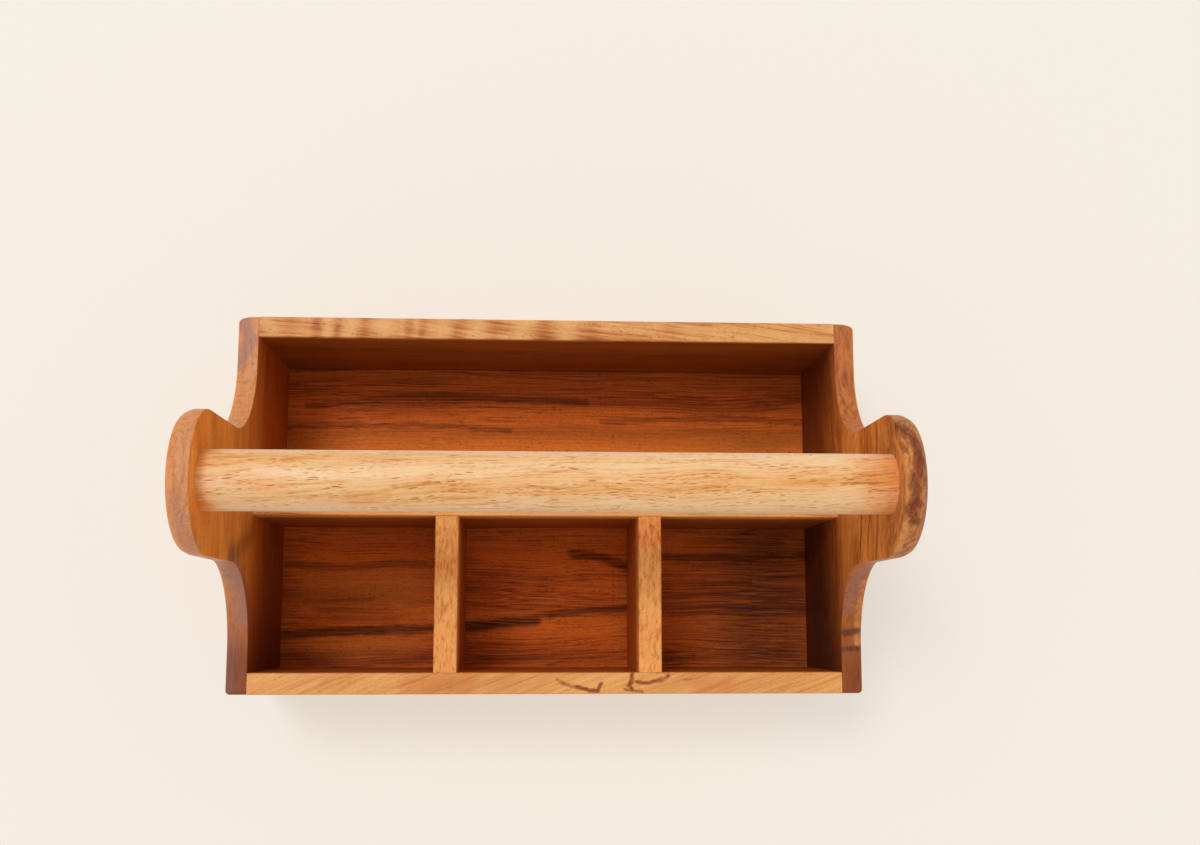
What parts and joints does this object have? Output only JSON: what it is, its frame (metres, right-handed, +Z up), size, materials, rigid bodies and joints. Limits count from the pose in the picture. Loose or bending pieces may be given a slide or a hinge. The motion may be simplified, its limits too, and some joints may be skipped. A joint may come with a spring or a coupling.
{
  "type": "utensil caddy",
  "caption": "Open wooden utensil caddy with one long rear compartment, a row of short front compartments and a round carrying handle between tall rounded end panels.",
  "frame": {"origin": "on the table, under the middle of the caddy", "axes": "+Z up; +X along the length, parallel to the handle; +Y towards the long rear compartment"},
  "size_m": [0.3, 0.18, 0.2],
  "materials": {
    "panel_wood": "oiled acacia, satin",
    "wall_wood": "oiled acacia, satin",
    "bottom_wood": "oiled acacia heartwood, satin",
    "divider_wood": "oiled acacia, satin",
    "handle_wood": "pale oiled acacia sapwood, satin",
    "pin_wood": "plain beech, unfinished"
  },
  "bodies": {
    "root": {"end_panel_left": "panel_wood", "end_panel_right": "panel_wood", "front_wall": "wall_wood", "rear_wall": "wall_wood", "bottom_board": "bottom_wood", "centre_divider": "divider_wood", "cross_divider_1": "divider_wood", "cross_divider_2": "divider_wood", "handle_dowel": "handle_wood", "front_wall_pins": "pin_wood", "rear_wall_pins": "pin_wood", "centre_divider_pins": "pin_wood", "cross_divider_1_pins": "pin_wood", "cross_divider_2_pins": "pin_wood"}
  },
  "joints": []
}
